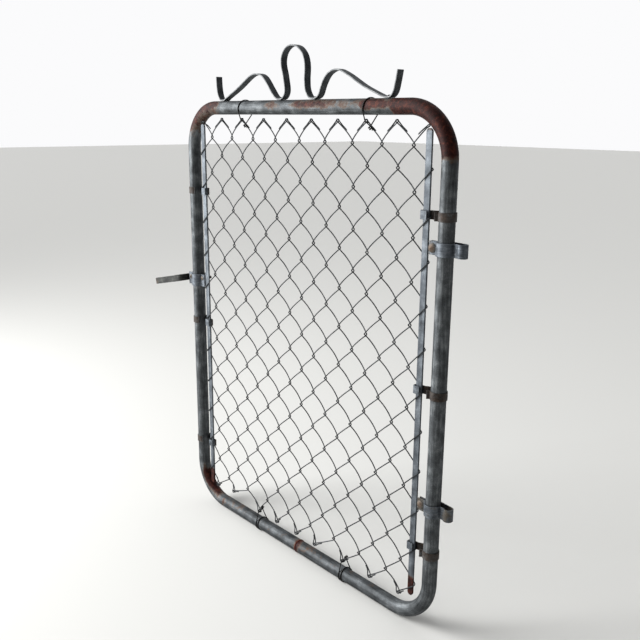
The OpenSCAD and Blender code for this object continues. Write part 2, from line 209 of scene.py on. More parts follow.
def strip(name, path, thick, wide, across, edge, body, material, spacing=None, marks=None):
    """A flat strip bent along a path: a rounded rectangle, thick x wide, carried along it.

    The rectangle's corners are quarter circles of radius edge, and it draws in on the same quarter
    circle at each end. spacing adds rows to straight runs. marks gives the marks of the points.
    """
    path = np.asarray(path, float)
    run = length_along(path)
    total = run[-1]
    ease = edge * np.array([0, 0.12, 0.45, 1])
    clear = edge * 1.2
    inner = run[(run > edge) & (run < total - edge)]
    if spacing:
        inner = np.union1d(inner, np.arange(edge + spacing, total - edge, spacing))
    at = np.concatenate([ease, inner[(inner > clear) & (inner < total - clear)], total - ease[::-1]])
    path = resampled(path, at)
    near = np.minimum(np.minimum(at, total - at) / edge, 1)
    shrink = np.minimum(1 - np.sqrt(1 - (1 - near) ** 2), 0.9)
    turn = corner_turns()
    sides = np.sign(np.stack([np.cos(turn[1::4].repeat(4)), np.sin(turn[1::4].repeat(4))], 1))
    flat = sides * (np.array([thick, wide]) / 2 - edge)
    round_ = np.stack([np.cos(turn), np.sin(turn)], 1)
    section = flat[None] + edge * (1 - shrink)[:, None, None] * round_[None]
    side, lift = carried(path, across)
    points = path[:, None] + section[..., :1] * side[:, None] + section[..., 1:] * lift[:, None]
    v = length_along(flat + edge * round_, closed=True)
    faces, uv = grid(points, at, v)
    numbers = marks and marks(points.reshape(-1, 3))
    piece = put(name, points, faces, uv, body, material, numbers)
    piece.modifiers.new("even_shading", "WEIGHTED_NORMAL").keep_sharp = True
    return piece


def plan(points, z=0.0):
    """Points in plan, (x, y), set at one height."""
    return np.column_stack([points, np.full(len(points), z)])


def rising(values, start, length):
    """0 up to a start, then evenly up to 1 over a length. A negative length rises downwards."""
    return np.clip((values - start) / length, 0, 1)


def spot(values, centre, reach):
    """A mark that is 1 in the middle of a patch and falls off as a bell curve past its reach."""
    return np.exp(-(((values - centre) / reach) ** 2))


def wire(name, path, diameter, across, material, sides=8):
    """A round wire: a circle carried along a path, drawn in to a blunt dome at its two cut ends."""
    run = length_along(path)
    r = diameter / 2
    near = np.minimum(np.minimum(run, run[-1] - run) / r, 1)
    size = r * np.maximum(np.sqrt(1 - (1 - near) ** 2), 0.35)
    turn = np.linspace(0, 2 * np.pi, sides, endpoint=False)
    side, lift = carried(path, across)
    points = path[:, None] + size[:, None, None] * (
        np.cos(turn)[None, :, None] * side[:, None] + np.sin(turn)[None, :, None] * lift[:, None]
    )
    faces, uv = grid(points, run, np.linspace(0, 2 * np.pi * r, sides + 1))
    return put(name, points, faces, uv, LEAF, material)


def turned(radius, along, centre, sides=40, closed=False):
    """A shape turned about a line along Y: radius, for each place along it or each place and angle."""
    turn = np.linspace(0, 2 * np.pi, sides, endpoint=False)
    radius = np.broadcast_to(np.asarray(radius, float).reshape(len(along), -1), (len(along), sides))
    at = np.broadcast_to(np.asarray(along, float)[:, None], radius.shape)
    points = np.stack([radius * np.cos(turn), at, radius * np.sin(turn)], -1) + centre
    run = length_along(np.column_stack([radius[:, 0], along]), closed)
    faces, uv = grid(points, run, np.linspace(0, 2 * np.pi * radius.max(), sides + 1), along=closed)
    return points.reshape(-1, 3), faces, uv


# ---- materials ----


def colour(hex_code):
    """An sRGB hex colour as linear RGBA."""
    srgb = np.array([int(hex_code[i : i + 2], 16) / 255 for i in (1, 3, 5)])
    linear = np.where(srgb <= 0.04045, srgb / 12.92, ((srgb + 0.055) / 1.055) ** 2.4)
    return (*linear.tolist(), 1.0)


def node(tree, kind, inputs=None, stops=None, **settings):
    """Adds one node: settings are its properties, inputs its sockets' values or links.

    stops are a ramp's places and hex colours: the first, the last, and then any between them.
    """
    made = tree.nodes.new("ShaderNode" + kind)
    for key, value in settings.items():
        setattr(made, key, value)
    for key, value in (inputs or {}).items():
        if isinstance(value, bpy.types.NodeSocket):
            tree.links.new(value, made.inputs[key])
        else:
            made.inputs[key].default_value = value
    if stops:
        ramp = made.color_ramp.elements
        for place, (position, value) in enumerate(stops):
            stop = ramp[place] if place < 2 else ramp.new(position)
            stop.position = position
            stop.color = colour(value)
    return made


# Rust: the size of its crusts and of the flakes in them, and how much of the skin its stain hides
CRUST = 16
FLAKE = 9
STAIN_SHARE = 0.75
RUST_ROUGH = 0.58
RUST_METALLIC = 0.1


def steel(
    name, tones, streak, blotch=18.0, grain=1.1, metallic=0.55, gloss=(0.42, 0.62), overlay=None,
    overlay_tones=("#170a07", "#2f1410", "#4f281c"), stain="#554538", relief=0.12, own_map=True,
):
    """A weathered steel surface; lengths in millimetres.

    tones are the dark, middle and light greys of the skin. streak is how long and how wide its
    drawn-out marks are, along the piece's own map, or along X without own_map. blotch is the size
    of its cloudy patches, grain that of its pits and relief their height. gloss is the roughness of
    its smoothest and roughest streaks. overlay is what noise and the piece's "overlay" mark add up
    to where the skin starts to take on the overlay_tones and where it is all in them, through the
    stain to their dark, middle and light. These are rust on most pieces; on the scroll they are pale
    greys that paint a highlight along its narrow edge faces, and on the clips their near-black
    browns also paint the shade behind the fabric. A "darkening" mark darkens the skin.
    """
    made = bpy.data.materials.new(name)
    made.use_nodes = True
    tree = made.node_tree
    tree.nodes.clear()
    place = node(tree, "TexCoord")
    body = place.outputs["Object"]
    along = place.outputs["UV"] if own_map else body
    drawn = (1000 / streak[0], 1000 / streak[1], 1000 / streak[1])
    stretched = node(tree, "Mapping", {"Vector": along, "Scale": drawn}).outputs[0]
    noise = "TexNoise"
    marks = node(tree, noise, {"Vector": stretched, "Scale": 1.0, "Detail": 5.0, "Roughness": 0.6})
    clouds = node(tree, noise, {"Vector": body, "Scale": 1000 / blotch, "Detail": 4.0, "Roughness": 0.55})
    pits = node(tree, noise, {"Vector": body, "Scale": 1000 / grain, "Detail": 3.0, "Roughness": 0.7})
    tone = node(tree, "Math", {0: marks.outputs[0], 1: clouds.outputs[0]}, operation="ADD")
    tone = node(tree, "Math", {0: tone.outputs[0], 1: pits.outputs[0]}, operation="ADD")
    tone = node(tree, "Math", {0: tone.outputs[0], 1: 1 / 3}, operation="MULTIPLY")
    darkening = node(tree, "Attribute", attribute_name="darkening")
    tone = node(tree, "Math", {0: tone.outputs[0], 1: darkening.outputs["Fac"]}, operation="SUBTRACT")
    skin = node(
        tree, "ValToRGB", {"Fac": tone.outputs[0]},
        stops=[(0.36, tones[0]), (0.66, tones[2]), (0.5, tones[1])],
    )
    look = skin.outputs[0]
    height = pits.outputs[0]
    bare = metallic
    shine = node(tree, "MapRange", {0: marks.outputs[0], 1: 0.3, 2: 0.7, 3: gloss[0], 4: gloss[1]})
    rough = shine.outputs[0]
    if overlay:
        own = node(tree, "Attribute", attribute_name="overlay")
        crust = node(
            tree, noise, {"Vector": body, "Scale": 1000 / CRUST, "Detail": 7.0, "Roughness": 0.66}
        )
        pile = node(tree, "Math", {0: own.outputs["Fac"], 1: crust.outputs[0]}, operation="ADD")
        tint = node(
            tree, "MapRange",
            {0: pile.outputs[0], 1: overlay[0] - 0.09, 2: overlay[0] + 0.06, 3: 0.0, 4: STAIN_SHARE},
        )
        share = node(tree, "MapRange", {0: pile.outputs[0], 1: overlay[0], 2: overlay[1], 3: 0.0, 4: 1.0})
        scale = node(
            tree, noise, {"Vector": body, "Scale": 1000 / FLAKE, "Detail": 8.0, "Roughness": 0.68}
        )
        brown = node(
            tree, "ValToRGB", {"Fac": scale.outputs[0]},
            stops=[(0.36, overlay_tones[0]), (0.68, overlay_tones[2]), (0.52, overlay_tones[1])],
        )
        soiled = node(tree, "Mix", {0: tint.outputs[0], 6: look, 7: colour(stain)}, data_type="RGBA")
        mix = {0: share.outputs[0], 6: soiled.outputs[2], 7: brown.outputs[0]}
        look = node(tree, "Mix", mix, data_type="RGBA").outputs[2]
        rough = node(tree, "Mix", {0: share.outputs[0], 2: rough, 3: RUST_ROUGH}).outputs[0]
        bare = node(tree, "Mix", {0: tint.outputs[0], 2: metallic, 3: RUST_METALLIC}).outputs[0]
        flake = node(tree, "Math", {0: scale.outputs[0], 1: share.outputs[0]}, operation="MULTIPLY")
        height = node(tree, "Math", {0: height, 1: flake.outputs[0]}, operation="ADD").outputs[0]
    bump = node(tree, "Bump", {"Height": height, "Distance": relief / 1000, "Strength": 0.6})
    surface = {
        "Base Color": look, "Roughness": rough, "Metallic": bare, "Normal": bump.outputs[0],
        "Specular IOR Level": 0.28, "Specular Tint": colour("#a0a0a2"),
    }
    shader = node(tree, "BsdfPrincipled", surface)
    node(tree, "OutputMaterial", {"Surface": shader.outputs[0]}, is_active_output=True)
    return made


# Hot-dip galvanised tube, long outdoors: clouded blue-grey zinc with lighter runs along the tube,
# and deep red-brown steel where it has worn through
TUBE_ZINC = steel(
    "hot_dip_galvanised_tube", ("#252728", "#4a4d4f", "#85898b"), (70, 5), blotch=26, metallic=0.6,
    gloss=(0.46, 0.64), overlay=(0.84, 1.04),
)
# Galvanised drawn wire, dulled to a dark even grey, with fine lines along it from drawing. They are
# drawn wider than on real wire so that they show
WIRE_ZINC = steel(
    "galvanised_drawn_wire", ("#1c1d1e", "#313335", "#55585a"), (14, 0.9), blotch=30, grain=0.8,
    metallic=0.5, gloss=(0.4, 0.6), relief=0.05,
)
# Galvanised rolled bar: the palest zinc on the gate, with rolling marks along it and rust where the
# sheared ends have lost their zinc
BAR_ZINC = steel(
    "galvanised_rolled_bar", ("#2e3135", "#51565b", "#858b91"), (90, 2.5), blotch=22, overlay=(0.95, 1.15)
)
# Bar clips of pressed galvanised strip: zinc dulled in small patches, with thin grey-brown stains.
# Its near-black browns also paint the shade on the clips' legs behind the fabric
STRIP_ZINC = steel(
    "galvanised_pressed_strip", ("#26282b", "#50555a", "#868c91"), (30, 2.5), blotch=14, overlay=(1.02, 1.3),
    overlay_tones=("#191513", "#332b26", "#4c4138"), stain="#433b34",
)
# Hinge straps and latch collar: the same pressed strip, a little brighter as a painted highlight, with
# brown at their ears
STRAP_ZINC = steel(
    "galvanised_hinge_strap", ("#292c2f", "#565b61", "#8b9197"), (30, 2.5), blotch=14, overlay=(1.02, 1.3),
    overlay_tones=("#1f1b17", "#3f382f", "#5f564a"), stain="#4a443a",
)
# Hot-rolled strip with its mill scale on: a blue-black skin with fine lines along it. Its overlaid tones
# are pale greys, which paint a highlight along the strip's narrow front and back faces
SCALE_STRIP = steel(
    "hot_rolled_scroll_strip", ("#1e2022", "#3b3f42", "#6c7073"), (45, 1.4), blotch=20, grain=0.9,
    metallic=0.4, gloss=(0.38, 0.58), overlay=(1.0, 1.25),
    overlay_tones=("#5f6163", "#7d7f80", "#9a9b9b"), stain="#4f5254", relief=0.07,
)
# Near-black rivets with a dull sheen
RIVET_BLACK = steel(
    "near_black_rivet", ("#0d0d0e", "#1c1c1e", "#333336"), (6, 3), blotch=6, metallic=0.35,
    gloss=(0.35, 0.5), own_map=False, relief=0.06,
)
# Hinge bolts and nuts whose zinc has gone: a grey rim round a rough brown middle
BOLT_RUST = steel(
    "worn_zinc_bolt", ("#403e3b", "#625f5b", "#8a8782"), (8, 3), blotch=9, overlay=(0.8, 1.15),
    overlay_tones=("#2e241d", "#54463b", "#7a6a5c"), stain="#544a41", own_map=False, relief=0.2,
)
# Latch bolts and nuts, brighter than the hinge bolts, with brown only in the middle of the heads
BOLT_BRIGHT = steel(
    "zinc_plated_bolt", ("#4c4945", "#76726c", "#a39e97"), (8, 3), blotch=9, overlay=(1.05, 1.3),
    overlay_tones=("#2c231d", "#4c4037", "#726459"), stain="#544a41", own_map=False, relief=0.1,
)
# Forged fork: dark olive-grey scale, browned a little towards the tips and at the lug
FORK_STEEL = steel(
    "forged_latch_fork", ("#161717", "#2c2d2c", "#5b5d59"), (40, 2.5), blotch=16, metallic=0.45,
    overlay=(1.0, 1.3), overlay_tones=("#241d18", "#40352c", "#5a4d42"), stain="#463d34", relief=0.15,
)
# Annealed tie wire: black-brown oxide with almost no shine
TIE_BLACK = steel(
    "annealed_tie_wire", ("#141414", "#242424", "#434240"), (10, 1), blotch=12, grain=0.8,
    metallic=0.3, gloss=(0.5, 0.7), relief=0.05,
)
# Stick-welded bead: rippled and burnt, rusted through because its zinc went with the heat
WELD_RUST = steel(
    "rusted_weld_bead", ("#240e0a", "#451a10", "#6a3320"), (4, 2), blotch=5, metallic=0.1,
    gloss=(0.7, 0.9), own_map=False, relief=0.25,
)


# ---- frame ----


# The tube is drawn a tenth of a millimetre thin, which leaves room for its dents
TUBE_SIDES = 48
DENT_ROOM = 0.1
SLEEVE_X = -340.0
SLEEVE_RISE = 0.55
# Rust patches along the top rail: the middle, how far each reaches to a side, and how deep it goes
RAIL_PATCHES = (
    (-92, 32, 0.5), (4, 24, 0.46), (54, 40, 0.6), (105, 34, 0.4), (165, 44, 0.36), (236, 26, 0.54),
    (278, 54, 0.64),
)  # fmt: skip


def frame_rust(points, wall):
    """Where the tube has lost its zinc. wall is the direction that the tube's wall faces at each point.

    The right upper bend is bare all round, and the left one on its outer and front side. Patches lie
    on the upper front of the top rail. Brown stains follow the bottom rail, deepest at the sleeve and
    at the weld. The left lower bend is bare on its inside, and the right stile is stained at one spot.
    """
    x, y, z = points.T
    up = wall[:, 2]
    right_bend = rising(x, 300, 26) * rising(z, 1068, 40)
    left_bend = rising(-x, 300, 40) * rising(z, 1100, 40)
    total = right_bend + left_bend * (0.42 + 0.4 * spot(up, 0.5, 0.6))
    upper_front = spot(z, TOP_Z, 2 * TUBE_R) * spot(up, 0.4, 0.8) * rising(y, 8, -8)
    total += sum(depth * upper_front * spot(x, at, reach) for at, reach, depth in RAIL_PATCHES)
    low_rail = spot(z, BOTTOM_Z, TUBE_R * 1.4)
    total += low_rail * (0.28 * spot(x, SLEEVE_X, 4) + 0.62 * spot(x, 4, 8))
    stains = 0.34 + 0.2 * spot(x, 40, 60) + 0.2 * spot(x, -290, 60)
    total += low_rail * np.clip(0.3 + 0.5 * up, 0, 1) * stains
    inside = np.clip(wall @ np.array([0.85, -0.2, 0.5]) * 1.3 - 0.1, 0, 1)
    total += 0.85 * inside * spot(z, 66, 40) * rising(-x, STRAIGHT_X, 20)
    total += 0.2 * spot(z, 251, 18) * spot(x, STILE_X, 30) * (y < 0)
    return np.clip(total, 0, 1)


def frame_tube():
    """The frame: a circle carried round a rectangle with rounded corners.

    The circle swells a little, as a bell curve along the tube, at the sleeve joint by the left lower
    bend, and shallow dents, two sine waves along and round the tube, take up to a tenth of a millimetre.
    """
    quarter = np.array([[1, 1], [-1, 1], [-1, -1], [1, -1]])
    centre = quarter * [STRAIGHT_X, (TOP_Z - BOTTOM_Z) / 2 - BEND_R] + [0, MID_HEIGHT]
    row_step = 4
    outline = []
    for i in range(4):
        bend = arc(centre[i], BEND_R, 90 * i, 90 * i + 90, 46)
        after = arc(centre[(i + 1) % 4], BEND_R, 90 * i + 90, 90 * i + 91, 2)[0]
        steps = int(np.linalg.norm(after - bend[-1]) / row_step)
        outline += [bend, bend[-1] + (after - bend[-1]) * (np.arange(1, steps) / steps)[:, None]]
    outline = np.concatenate(outline)
    path = np.column_stack([outline[:, 0], np.zeros(len(outline)), outline[:, 1]])
    side, lift = carried(path, (0.0, 1.0, 0.0), closed=True)
    run = length_along(path, closed=True)
    turn = np.linspace(0, 2 * np.pi, TUBE_SIDES, endpoint=False)
    on_low_rail = np.abs(path[:, 2] - BOTTOM_Z) < 1
    sleeve = SLEEVE_RISE * on_low_rail * spot(path[:, 0], SLEEVE_X, 2.2)
    waves = np.sin(run[:-1, None] / 31 + 2 * turn) + np.sin(run[:-1, None] / 47 - 3 * turn)
    radius = (TUBE_R - DENT_ROOM + sleeve[:, None] + DENT_ROOM / 2 * waves)[..., None]
    out = np.cos(turn)[None, :, None] * side[:, None] + np.sin(turn)[None, :, None] * lift[:, None]
    points = path[:, None] + radius * out
    faces, uv = grid(points, run, np.linspace(0, 2 * np.pi * TUBE_R, TUBE_SIDES + 1), along=True)
    flat = points.reshape(-1, 3)
    # The straight rails are drawn a little darker than the bends and stiles, the bottom rail more than
    # the top
    top_darkening, bottom_darkening = 0.02, 0.05
    darkening = rising(np.abs(flat[:, 0]), STRAIGHT_X + 20, -40)
    darkening *= np.where(flat[:, 2] > MID_HEIGHT, top_darkening, bottom_darkening)
    marks = {"overlay": frame_rust(flat, out.reshape(-1, 3)), "darkening": darkening}
    piece = put("frame_tube", flat, faces, uv, LEAF, TUBE_ZINC, marks)
    ends = [f"corner_{v}_{h}" for v in ("top", "bottom") for h in ("left", "right")]
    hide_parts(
        "top_rail", "left_stile", "right_stile", "bottom_rail_left", "bottom_rail_right", *ends
    )


def weld_bead():
    """The weld round the bottom rail: a ring whose section, an ellipse, swells and wanders.

    The ellipse's size is a fast cosine round the tube, and the ring strays aside as a slower sine.
    """
    rows, sides = 144, 12
    bead, ripple, ripples = 1.55, 0.2, 24
    stray, strays = 0.5, 5
    sunk = 0.5
    turn = np.linspace(0, 2 * np.pi, rows, endpoint=False)[:, None]
    section = np.linspace(0, 2 * np.pi, sides, endpoint=False)[None, :]
    size = bead + ripple * np.cos(turn * ripples)
    x = stray * np.sin(turn * strays) + 1.5 * size * np.cos(section)
    radius = TUBE_R - sunk + size * np.sin(section)
    points = np.stack([x, radius * np.cos(turn), BOTTOM_Z + radius * np.sin(turn)], -1)
    u = np.linspace(0, 2 * np.pi * TUBE_R, rows + 1)
    faces, uv = grid(points, u, np.linspace(0, 10, sides + 1), along=True)
    piece = put("weld_bead", points, faces, uv, LEAF, WELD_RUST)
    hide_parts("frame_weld")


# ---- scroll ----

SCROLL_WIDE = np.ptp(corners("scroll_strip"), axis=0)[1]
SCROLL_THICK = 3.2
SCROLL_X = middle("scroll_rivets")[0] + 0.5
# The strip's middle line where it stands on the rail, and where its four rivets are
FOOT = SCROLL_THICK / 2 + 0.3
FEET = (-297, -61, 62, 296)
# The strip's middle line from left to right: X from the scroll's middle, height over the rail
SCROLL_LINE = [
    (-322, 62), (-320, 34), (-314, 12), (-304, FOOT), (-290, FOOT), (-278, 8), (-228, 31), (-178, 58),
    (-148, 63), (-122, 54), (-95, 25), (-80, 9), (-67, FOOT), (-55, FOOT), (-44, 8), (-38, 24),
    (-44, 55), (-52, 86), (-44, 110), (-22, 123), (6, 119), (27, 101), (35, 76), (34, 46), (36, 24),
    (45, 8), (56, FOOT), (68, FOOT), (82, 10), (94, 34), (112, 55), (140, 63), (172, 53), (225, 26),
    (270, 8), (289, FOOT), (303, FOOT), (314, 12), (320, 32), (325, 56),
]  # fmt: skip


def scroll_band():
    """The scroll: a flat strip on edge along a smooth line, flattened where it stands on the rail."""
    line = spline(np.array(SCROLL_LINE, float), 8)
    line[:, 1] = np.maximum(line[:, 1], FOOT)
    path = np.column_stack([line[:, 0] + SCROLL_X, np.zeros(len(line)), line[:, 1] + RAIL_TOP])

    def overlay_marks(points):
        # Painted highlight: the strip's narrow front and back faces are lightened to pale grey, and the
        # mark is a little higher within 20 mm of the rail
        edge_highlight = np.abs(points[:, 1]) > SCROLL_WIDE / 2 - 0.75
        near_rail = points[:, 2] < RAIL_TOP + 20
        return {"overlay": 0.62 * edge_highlight + 0.1 * near_rail}

    piece = strip(
        "scroll_band", path, SCROLL_THICK, SCROLL_WIDE, (0, 1, 0), 0.8, LEAF, SCALE_STRIP,
        marks=overlay_marks,
    )
    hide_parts("scroll_strip")


def foot_rivets():
    """Four rivets: a shallow dome, a shank through strip and rail, and an upset end inside it."""
    head_r, head_h, shank_r, upset_r = 4.8, 3.1, 2.35, 3.4
    seat = RAIL_TOP + FOOT + SCROLL_THICK / 2 + 0.1
    inner = RAIL_TOP - 3.2
    turn = np.radians(np.linspace(4, 90, 9))
    dome = np.column_stack([head_r * np.sin(turn), seat - 0.1 + head_h * np.cos(turn)])
    below = [
        (head_r - 0.3, seat), (shank_r, seat), (shank_r, inner), (upset_r - 0.2, inner),
        (upset_r, inner - 1), (upset_r - 0.3, inner - 2), (0.4, inner - 2),
    ]
    radius, height = np.concatenate([dome, below]).T
    points, faces, uv = turned(radius, height, (0, 0, 0), sides=28)
    all_points, all_faces = [], []
    for foot in FEET:
        start = len(all_points) * len(points)
        all_points.append(np.column_stack([points[:, 0] + SCROLL_X + foot, points[:, 2], points[:, 1]]))
        all_faces += [[i + start for i in face] for face in faces]
    all_uv = np.tile(uv, (len(FEET), 1))
    piece = put("foot_rivets", all_points, all_faces, all_uv, LEAF, RIVET_BLACK)
    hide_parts("scroll_rivets")


# ---- tension bars and clips ----


def stretcher_bar(side):
    """A flat bar with half-round ends: a rounded rectangle whose width follows the end circles.

    Its half width at a distance d from an end is the circle's chord there, the root of d (2 r - d).
    """
    node_name = f"tension_bar_{side}"
    low, high = corners(node_name) - ORIGIN
    x, y = (low[:2] + high[:2]) / 2
    r, half = BAR_SIZE[0] / 2, BAR_SIZE[1] / 2
    edge = 0.9
    span = high[2] - low[2]
    ends = r * (1 - np.cos(np.radians(np.linspace(6, 90, 12))))
    d = np.concatenate([ends, np.arange(r + 6, span - r - 3, 6), (span - ends)[::-1]])
    near = np.minimum(d, span - d)
    wide = np.where(near < r, np.sqrt(np.maximum(near * (2 * r - near), 0)), r)
    thick = half - edge + edge * np.sqrt(1 - np.clip(1 - near / edge, 0, 0.95) ** 2)
    turn = corner_turns()
    mid = np.radians(45 + 90 * np.repeat(np.arange(4), 4))
    soft = np.minimum(edge, wide * 0.4)[:, None]
    across = np.sign(np.cos(mid)) * (wide[:, None] - soft) + soft * np.cos(turn)
    deep = np.sign(np.sin(mid)) * (thick[:, None] - soft) + soft * np.sin(turn)
    bow = 0.6 * np.sin(np.pi * d / span)[:, None]
    height = np.broadcast_to((low[2] + d)[:, None], across.shape)
    points = np.stack([x + across, y + bow + deep, height], -1)
    faces, uv = grid(points, d, np.linspace(0, 4 * (r + half), 17))
    flat = points.reshape(-1, 3)
    foot, head = flat[:, 2] - low[2], high[2] - flat[:, 2]
    head_rust = 0.5 if side == "right" else 0.2
    overlay = 0.85 * rising(foot, 58, -14) + head_rust * rising(head, 14, -12)
    piece = put(f"stretcher_bar_{side}", flat, faces, uv, LEAF, BAR_ZINC, {"overlay": overlay})
    piece.modifiers.new("even_shading", "WEIGHTED_NORMAL").keep_sharp = True
    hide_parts(node_name)


CLIP_THICK = 2.0
# Room between the clip and the bar: beside it, and over it for the wire that hangs on the bar
BESIDE_BAR = 2.0
OVER_BAR = 3.7


def bar_clip(side, place):
    """A clip: one strip hooked over the bar, led behind it and round the stile, to a standing lip."""
    node_name = f"{side}_clip_{place}"
    low, high = corners(node_name) - ORIGIN
    sign = -1 if side == "left" else 1
    half = CLIP_THICK / 2
    bar_in = BAR_X - BAR_SIZE[0] / 2 - BESIDE_BAR - half
    front = FABRIC_Y - BAR_SIZE[1] / 2 - OVER_BAR - half
    rear = FABRIC_Y + BAR_SIZE[1] / 2 + OVER_BAR + half
    hook = [(BAR_X + 6, front), (bar_in, front), (bar_in, rear), (BAR_X + BAR_SIZE[0] / 2 + 3, rear)]
    touch, let_go, lip_long = 98, -138, 8
    around = arc((STILE_X, 0), WRAP_R + half, touch, let_go, 44)
    back = rounded(hook + [around[0] + (-7, 0.1), around[0]], [2.2, 2.2, 6, 8], count=6)
    lip = around[-1] + unit(around[-1] - [STILE_X, 0]) * lip_long
    ring_end = rounded([around[-2], around[-1], lip], [0.02], count=3)[1:]
    outline = np.concatenate([back, around[1:-2], ring_end]) * [sign, 1]
    path = plan(outline, (low[2] + high[2]) / 2)

    def stains_and_shade(points):
        out = np.abs(points[:, 0])
        # Painted shade: the legs behind the fabric, between the bar and the stile, are darkened to a
        # near-black brown
        painted_shade = rising(out, STILE_X - 14, -10) * (points[:, 1] > FABRIC_Y)
        band = rising(out, STILE_X - TUBE_R - 4, 3)
        return {"overlay": 0.2 + 0.5 * painted_shade + 0.46 * band}

    piece = strip(
        f"bar_clip_{side}_{place}", path, CLIP_THICK, high[2] - low[2], (0, 0, 1), 0.6, LEAF,
        STRIP_ZINC, marks=stains_and_shade,
    )
    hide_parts(node_name)


# ---- hinges ----

STRAP_THICK = 3.2
EYE_BORE_R = 8.25
EAR_GAP = 4.0
# Radius of the strip's middle line where it turns from the tube to an ear or to the eye
PRESS_BEND = 1.6
# How far the strip between the tube and the eye lies in front of the tube's middle
WEB_Y = -0.6


def hinge_strap(level):
    """A hinge strap: one strip from the front ear round the tube, round the eye, and back."""
    node_name = f"{level}_hinge_strap"
    low, high = corners(node_name) - ORIGIN
    half = STRAP_THICK / 2
    ring = WRAP_R + half
    eye_r = EYE_BORE_R + half
    eye = np.array([high[0] - eye_r - half - STILE_X, -ORIGIN[1]])
    ear = (EAR_GAP + STRAP_THICK) / 2
    ear_end = low[0] - STILE_X
    join = math.degrees(math.asin(ear / ring))
    ear_root = -math.cos(math.radians(join)) * ring
    front = arc((0, 0), ring, 180 + join + 5, 352, 36)
    rear = arc((0, 0), ring, 81, 180 - join - 5, 24)
    eye_start = 180 + math.degrees(math.asin((eye[1] - WEB_Y) / eye_r))
    eye_arc = arc(eye, eye_r, eye_start + 14, 446, 32)
    ear_front = rounded([(ear_end, -ear), (ear_root, -ear), front[0]], [PRESS_BEND], 5)
    ear_back = rounded([rear[-1], (ear_root, ear), (ear_end, ear)], [PRESS_BEND], 5)
    link = [front[-1], (ring + 0.8, WEB_Y), (eye[0] - eye_r * 0.82, WEB_Y), eye_arc[0]]
    link = rounded(link, [PRESS_BEND, 2.0], 5)
    outline = np.concatenate([ear_front, front[1:-1], link, eye_arc[1:], rear, ear_back[1:]])
    path = plan(outline + [STILE_X, 0], (low[2] + high[2]) / 2)

    def stains_and_shade(points):
        at_ears = rising(points[:, 0], STILE_X - 17, -12)
        in_eye = spot(points[:, 0] - STILE_X, eye[0], 9) * 0.2
        # Painted shade: the lower strap is drawn darker and browner all over than the upper
        return {"overlay": 0.2 + 0.3 * at_ears + in_eye + (0.22 if level == "lower" else 0.0)}

    piece = strip(
        f"strap_{level}_hinge", path, STRAP_THICK, high[2] - low[2], (0, 0, 1), 0.9, LEAF,
        STRAP_ZINC, marks=stains_and_shade,
    )
    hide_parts(node_name)


def bolt(name, replaced, head_r, head_h, shank_r, pitch, material, crown_rust):
    """A bolt along Y: a dome, a collar under it, and a shank whose last part carries a helical thread.

    The thread takes from the shank's radius a cosine of the way along it less the angle round it.
    """
    low, high = corners(replaced) - ORIGIN
    x, z = (low[0] + high[0]) / 2, (low[2] + high[2]) / 2
    sides = 40
    dome = np.radians(np.linspace(3, 90, 12))
    seat = low[1] + head_h
    crown_r = head_r * np.sin(dome)
    crown_y = seat - head_h * np.cos(dome) ** 1.3
    plain = [head_r - 0.4, shank_r + 0.6, shank_r]
    plain_y = [seat + 0.05, seat + 0.05, seat + 0.6]
    threaded = min(16.0, (high[1] - seat) * 0.6)
    shank_y = np.arange(high[1] - threaded, high[1] - 0.8, pitch / 6)
    turn = np.linspace(0, 2 * np.pi, sides, endpoint=False)
    depth = 0.3 * pitch
    wave = depth * (1 - np.cos(2 * np.pi * shank_y[:, None] / pitch - turn[None, :]))
    fade = rising(shank_y, shank_y[0], pitch)[:, None]
    head = np.tile(np.concatenate([crown_r, plain])[:, None], sides)
    tip = np.tile([[shank_r - depth], [shank_r - depth - 0.7]], sides)
    radius = np.concatenate([head, shank_r - wave * fade, tip])
    along = np.concatenate([crown_y, plain_y, shank_y, [high[1] - 0.5, high[1]]])
    points, faces, uv = turned(radius, along, (x, 0, z), sides)
    off = np.hypot(points[:, 0] - x, points[:, 2] - z)
    shank_rust = 0.8
    overlay = crown_rust * np.clip(1.25 - off / head_r, 0, 1) * (points[:, 1] < seat)
    overlay += shank_rust * (points[:, 1] > seat)
    piece = put(name, points, faces, uv, LEAF, material, {"overlay": overlay})
    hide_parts(replaced)


def nut(name, replaced, bore_r, material):
    """A hexagon nut along Y: a hexagon, or a cone that cuts its corners where that is smaller."""
    low, high = corners(replaced) - ORIGIN
    x, z = (low[0] + high[0]) / 2, (low[2] + high[2]) / 2
    flats = min(high[0] - low[0], high[2] - low[2])
    height = high[1] - low[1]
    sides = 72
    turn = np.linspace(0, 2 * np.pi, sides, endpoint=False)
    flat_on_top = high[2] - low[2] < high[0] - low[0]
    first = 0 if flat_on_top else np.radians(30)
    hexagon = flats / 2 / np.cos((turn + first) % np.radians(60) - np.radians(30))
    depth = np.array([0, 0.3, 0.7, 1.2, height / 2, height - 1.2, height - 0.7, height - 0.3, height])
    near = np.minimum(depth, height - depth)[:, None]
    outer = np.minimum(hexagon[None, :], flats / 2 - 0.2 + near * 1.73)
    bore = np.full((2, sides), bore_r)
    along = low[1] + np.concatenate([depth, [height, 0]])
    points, faces, uv = turned(np.concatenate([outer, bore]), along, (x, 0, z), sides, closed=True)
    piece = put(name, points, faces, uv, LEAF, material, {"overlay": np.full(len(points), 0.35)})
    piece.data.set_sharp_from_angle(angle=math.radians(28))
    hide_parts(replaced)


# ---- latch ----

COLLAR_THICK = 3.0
# Half the gap between the two halves' ears: the outer pair holds the fork's lug, the inner a bolt
OUTER_EAR = 4.3
INNER_EAR = 2.5


